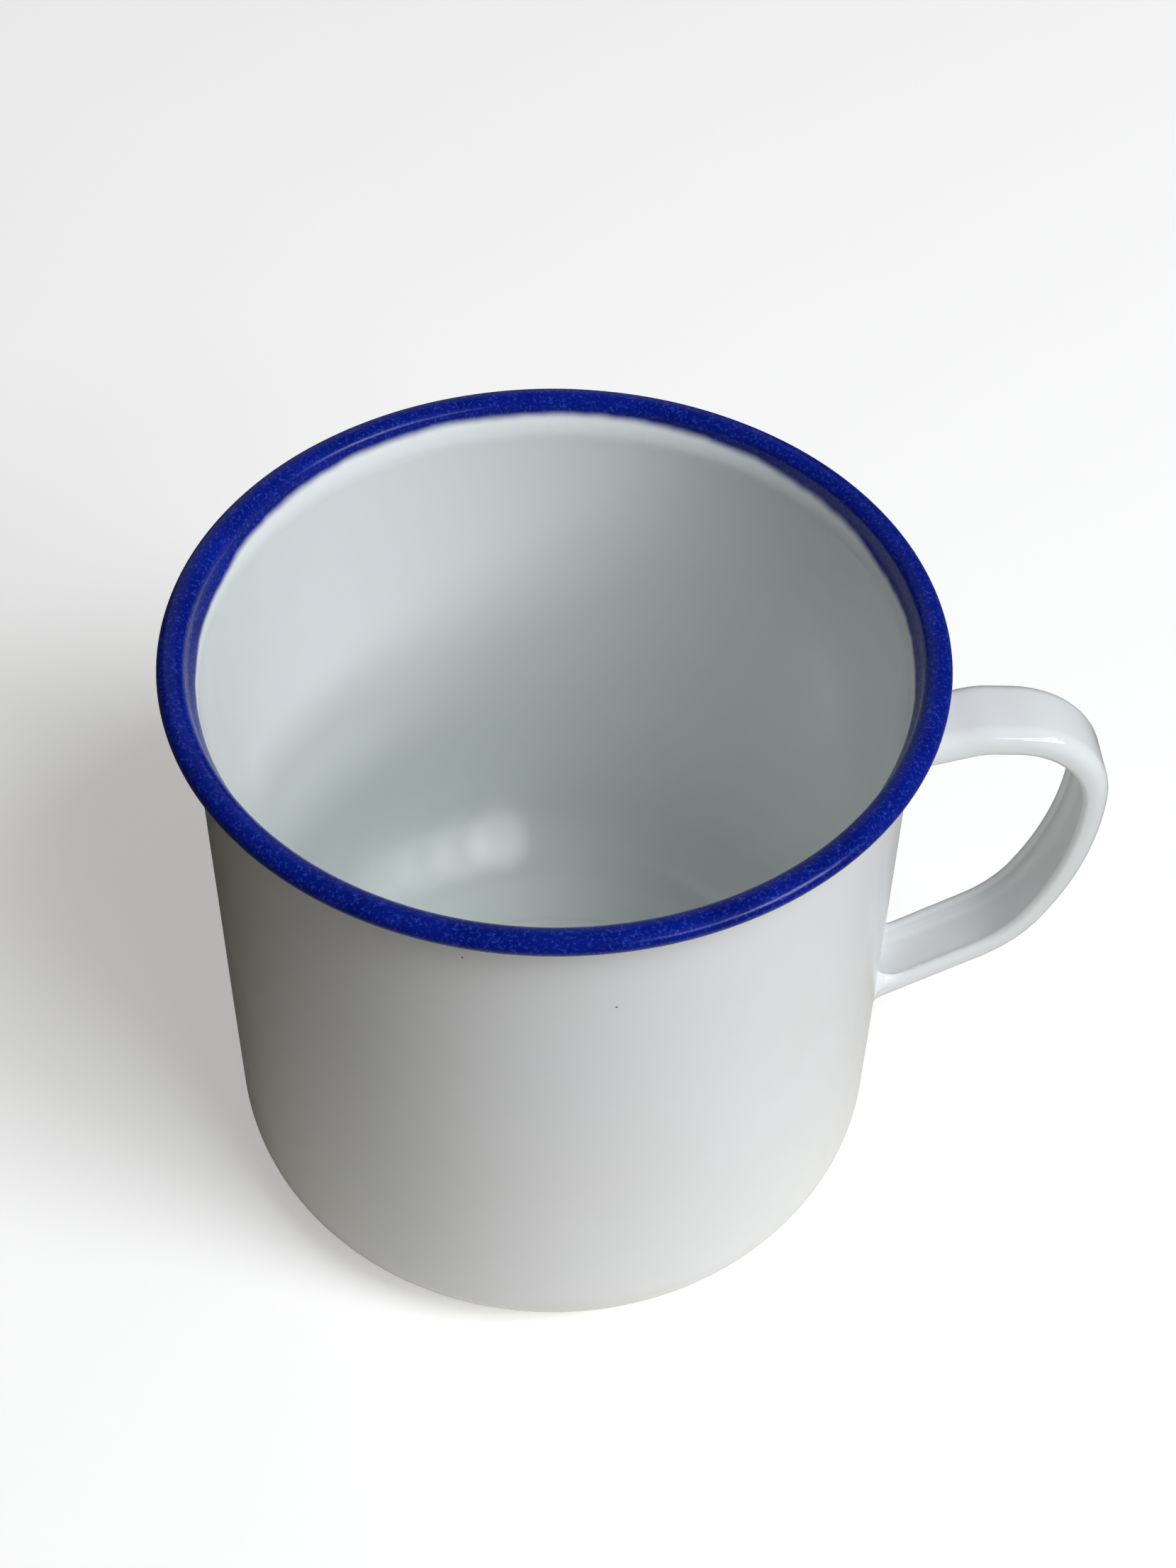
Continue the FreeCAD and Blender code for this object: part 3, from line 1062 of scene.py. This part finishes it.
surround = add_node(
    tree,
    "ShaderNodeMix",
    {0: ray["Is Camera Ray"], 6: lit.outputs[2], 7: SEEN_ROOM},
    data_type="RGBA",
)
tree.links.new(surround.outputs[2], backdrop.inputs["Color"])
print("surroundings", world.name, "ceiling", CEILING_COLOUR)

# %% [markdown]
# ## Light
# Two windows, each with a bar across it, stand to the right of the camera at 30 degrees up. Each is
# two wide low panels one above the other, and the one farther right is the brighter. A wide soft
# panel higher up stands for the sky that lights the cup's inside; its light is diffused, so it leaves
# no mark on the glass. A faint broad one behind stands for the far side of the room.


# %% Panels of light
PANEL_TARGET = Vector((0, 0, 0.06))
PANEL_DISTANCE = 1.2
BAR_LIFT = 0.0925  # half the distance between the middles of the panels above and below a bar


def light_panel(name, azimuth, elevation, distance, width, height, radiance, colour, lift=0.0):
    """A rectangle facing the mug. Its power is radiance times area times pi."""
    out = Vector(
        (
            math.cos(math.radians(elevation)) * math.cos(math.radians(azimuth)),
            math.cos(math.radians(elevation)) * math.sin(math.radians(azimuth)),
            math.sin(math.radians(elevation)),
        )
    )
    data = bpy.data.lights.new(name, "AREA")
    data.shape = "RECTANGLE"
    data.size = width
    data.size_y = height
    data.energy = radiance * width * height * math.pi
    data.color = colour
    light = bpy.data.objects.new(name, data)
    light.rotation_mode = "QUATERNION"
    light.rotation_quaternion = out.to_track_quat("Z", "Y")
    up = light.rotation_quaternion @ Vector((0, 1, 0))
    light.location = PANEL_TARGET + out * distance + up * lift
    bpy.context.scene.collection.objects.link(light)
    return light


# azimuth, elevation, width and height in metres, radiance, colour, then lift along the panel
PANELS = {
    "window_right_upper": (-30.0, 30.3, 0.42, 0.11, 16.5, (0.97, 1.0, 1.04), BAR_LIFT),
    "window_right_lower": (-30.0, 30.3, 0.42, 0.11, 16.5, (0.97, 1.0, 1.04), -BAR_LIFT),
    "window_left_upper": (-54.0, 30.3, 0.50, 0.11, 6.2, (0.97, 1.0, 1.04), BAR_LIFT),
    "window_left_lower": (-54.0, 30.3, 0.50, 0.11, 6.2, (0.97, 1.0, 1.04), -BAR_LIFT),
    "skylight": (-42.0, 55.0, 0.50, 0.40, 9.8, (0.94, 1.0, 1.05), 0.0),
    "room_behind": (102.0, 24.0, 1.1, 1.1, 0.3, (0.92, 0.96, 1.0), 0.0),
}
panels = {
    label: light_panel(label, azimuth, elevation, PANEL_DISTANCE, width, height, radiance, colour, lift)
    for label, (azimuth, elevation, width, height, radiance, colour, lift) in PANELS.items()
}
panels["skylight"].visible_glossy = False
print("panels", list(PANELS))

# %% [markdown]
# ## Gathered light in the bottom corner
# Light that the curved wall gathers on its way down is a caustic, and it leaves a bright streak in
# the cup's bottom corner with a brighter round end. Traced light shows that streak only with a lot of
# noise, so a row of narrow soft spots draws it. They aim at points along the corner through the open
# top, and they leave no mark in reflections.

# %% Spots along the streak
SPOT_PLACE = Vector((0.06, -0.16, 0.36))
SPOT_SPREAD = math.radians(1.5)
SPOT_RADIUS = 0.5 * MM
CAUSTIC_START = Vector((-22.0, 32.0, 5.0)) * MM
CAUSTIC_END = Vector((-6.5, 38.0, 3.6)) * MM
CAUSTIC_POWERS = (0.45, 0.6, 0.8, 1.25)
for step, power in enumerate(CAUSTIC_POWERS):
    spot_data = bpy.data.lights.new(f"caustic_{step}", "SPOT")
    spot_data.energy = power
    spot_data.spot_size = SPOT_SPREAD
    spot_data.spot_blend = 1.0
    spot_data.shadow_soft_size = SPOT_RADIUS
    spot = bpy.data.objects.new(f"caustic_{step}", spot_data)
    spot.location = SPOT_PLACE
    aim = CAUSTIC_START.lerp(CAUSTIC_END, step / (len(CAUSTIC_POWERS) - 1)) - SPOT_PLACE
    spot.rotation_mode = "QUATERNION"
    spot.rotation_quaternion = aim.to_track_quat("-Z", "Y")
    spot.visible_glossy = False
    bpy.context.scene.collection.objects.link(spot)
print("caustic spots", len(CAUSTIC_POWERS))

# %% [markdown]
# ## Camera
# The camera looks down at the mug by about 48 degrees from the front, with a short telephoto lens
# and a slight roll. Depth of field stays off, so the part is sharp from every side.

# %% Camera
CAMERA_PLACE = Vector((-0.00984, -0.19419, 0.27098))
CAMERA_TARGET = Vector((0.00460, 0.01080, 0.045))
CAMERA_ROLL = math.radians(1.058)
camera_data = bpy.data.cameras.new("camera")
camera_data.sensor_width = 36
camera_data.lens = 57.6
camera_data.clip_start = 0.01
camera_data.clip_end = 20
camera = bpy.data.objects.new("camera", camera_data)
camera.rotation_mode = "QUATERNION"
looking = (CAMERA_TARGET - CAMERA_PLACE).to_track_quat("-Z", "Y")
camera.rotation_quaternion = looking @ Quaternion((0, 0, 1), CAMERA_ROLL)
camera.location = CAMERA_PLACE
bpy.context.scene.collection.objects.link(camera)
bpy.context.scene.camera = camera
drop = CAMERA_TARGET - CAMERA_PLACE
print("camera looks down by", round(math.degrees(math.asin(-drop.z / drop.length)), 1), "degrees")
bpy.context.scene.view_settings.view_transform = "Standard"
bpy.context.scene.view_settings.look = "None"
